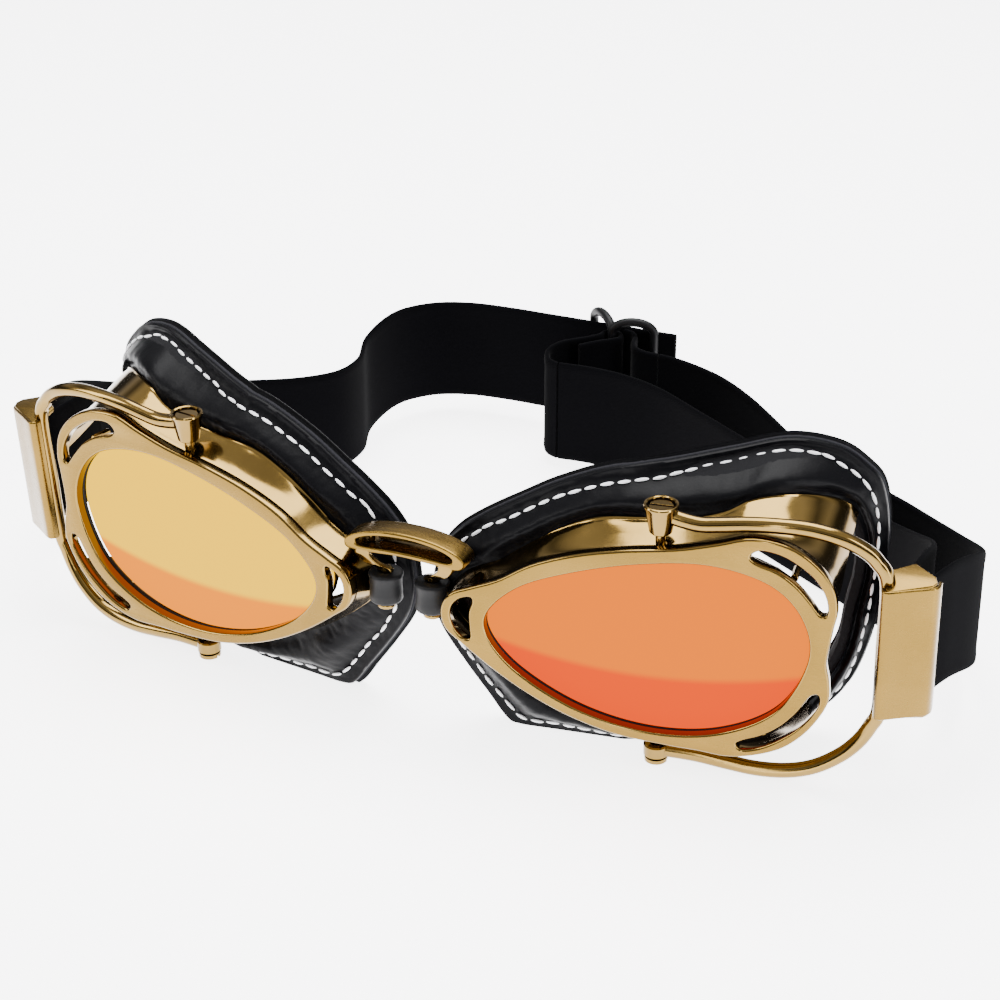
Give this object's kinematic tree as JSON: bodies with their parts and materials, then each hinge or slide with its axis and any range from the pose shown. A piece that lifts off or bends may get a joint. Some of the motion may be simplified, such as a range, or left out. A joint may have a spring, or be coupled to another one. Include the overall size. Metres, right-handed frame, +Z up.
{
  "type": "motorcycle goggles",
  "caption": "Motorcycle goggles with brass eye cups hinged to a nose bridge, mirrored lenses, leather face pads, wire bails and an elastic head strap with a slider.",
  "frame": {"origin": "middle of the bounding box's base, on the surface the goggles stand on", "axes": "+Z up, -Y out of the lenses, +X towards the wearer's left"},
  "size_m": [0.22, 0.1651, 0.0672],
  "materials": {
    "brushed_brass": "brushed antique gold, lacquered",
    "polished_brass": "polished antique gold",
    "orange_mirror": "orange mirror coating on a tinted lens",
    "yellow_mirror": "yellow mirror coating on a tinted lens",
    "black_rubber": "matt black",
    "black_leather": "smooth black, white stitching",
    "black_foam": "black closed-cell foam",
    "lining": "black brushed lining",
    "elastic_webbing": "black woven elastic",
    "black_plastic": "moulded black plastic"
  },
  "bodies": {
    "bridge": {"bridge_band": "brushed_brass", "bridge_plate": "brushed_brass", "bridge_post_left": "polished_brass", "bridge_post_right": "polished_brass", "leg_cap_left": "polished_brass", "leg_cap_right": "polished_brass"},
    "cup_left": {"bezel_left": "brushed_brass", "lens_left": "orange_mirror", "lens_gasket_left": "black_rubber", "lens_retainer_left": "brushed_brass", "cup_wall_left": "polished_brass", "vent_post_upper_left": "polished_brass", "vent_post_lower_left": "polished_brass", "leather_cover_left": "black_leather", "foam_pad_left": "black_foam", "pad_lining_left": "lining", "hinge_bush_left": "black_rubber", "pivot_screw_upper_left": "polished_brass", "pivot_screw_lower_left": "polished_brass"},
    "cup_right": {"bezel_right": "brushed_brass", "lens_right": "yellow_mirror", "lens_gasket_right": "black_rubber", "lens_retainer_right": "brushed_brass", "cup_wall_right": "polished_brass", "vent_post_upper_right": "polished_brass", "vent_post_lower_right": "polished_brass", "leather_cover_right": "black_leather", "foam_pad_right": "black_foam", "pad_lining_right": "lining", "hinge_bush_right": "black_rubber", "pivot_screw_upper_right": "polished_brass", "pivot_screw_lower_right": "polished_brass"},
    "bail_left": {"bail_left": "polished_brass"},
    "bail_right": {"bail_right": "polished_brass"},
    "clip_left": {"strap_clip_left": "brushed_brass", "strap_pin_left": "polished_brass"},
    "clip_right": {"strap_clip_right": "brushed_brass", "strap_pin_right": "polished_brass"},
    "strap_left": {"strap_webbing_left": "elastic_webbing"},
    "strap_right": {"strap_webbing_right": "elastic_webbing"},
    "slider": {"slider": "black_plastic", "strap_fold": "elastic_webbing", "strap_weave": "elastic_webbing"}
  },
  "joints": [
    {"name": "hinge_left", "type": "hinge", "parent": "bridge", "child": "cup_left", "pos_m": [0.00893, -0.07613, 0.03164], "axis": [0, 0, 1], "range_deg": [-3, 8]},
    {"name": "hinge_right", "type": "hinge", "parent": "bridge", "child": "cup_right", "pos_m": [-0.00153, -0.07613, 0.03164], "axis": [0, 0, 1], "range_deg": [-8, 3]},
    {"name": "bail_swing_left", "type": "hinge", "parent": "cup_left", "child": "bail_left", "pos_m": [0.05605, -0.0713, 0.03004], "axis": [-0.0078, 0.0493, -0.9988], "range_deg": [-2, 16]},
    {"name": "bail_swing_right", "type": "hinge", "parent": "cup_right", "child": "bail_right", "pos_m": [-0.04865, -0.0713, 0.03004], "axis": [0.0078, 0.0493, -0.9988], "range_deg": [-16, 2]},
    {"name": "clip_swing_left", "type": "hinge", "parent": "bail_left", "child": "clip_left", "pos_m": [0.099, -0.06247, 0.03284], "axis": [-0.014, 0.0885, -0.996], "range_deg": [-16, 2]},
    {"name": "clip_swing_right", "type": "hinge", "parent": "bail_right", "child": "clip_right", "pos_m": [-0.0916, -0.06247, 0.03284], "axis": [0.014, 0.0885, -0.996], "range_deg": [-2, 16]},
    {"name": "strap_swing_left", "type": "hinge", "parent": "clip_left", "child": "strap_left", "pos_m": [0.10351, -0.0577, 0.03284], "axis": [0, 0, 1], "range_deg": [-8, 3]},
    {"name": "strap_swing_right", "type": "hinge", "parent": "clip_right", "child": "strap_right", "pos_m": [-0.09611, -0.0577, 0.03284], "axis": [0, 0, 1], "range_deg": [-3, 8]},
    {"name": "slider_slide", "type": "slide", "parent": "strap_left", "child": "slider", "axis": [1, 0, 0], "range_m": [-0.008, 0]}
  ],
  "couplings": [
    {"joint": "hinge_right", "follows": "hinge_left", "ratio": -1},
    {"joint": "strap_swing_left", "follows": "hinge_left", "ratio": -1},
    {"joint": "strap_swing_right", "follows": "hinge_left", "ratio": 1},
    {"joint": "bail_swing_right", "follows": "bail_swing_left", "ratio": -1},
    {"joint": "clip_swing_left", "follows": "bail_swing_left", "ratio": -1},
    {"joint": "clip_swing_right", "follows": "bail_swing_left", "ratio": 1}
  ]
}
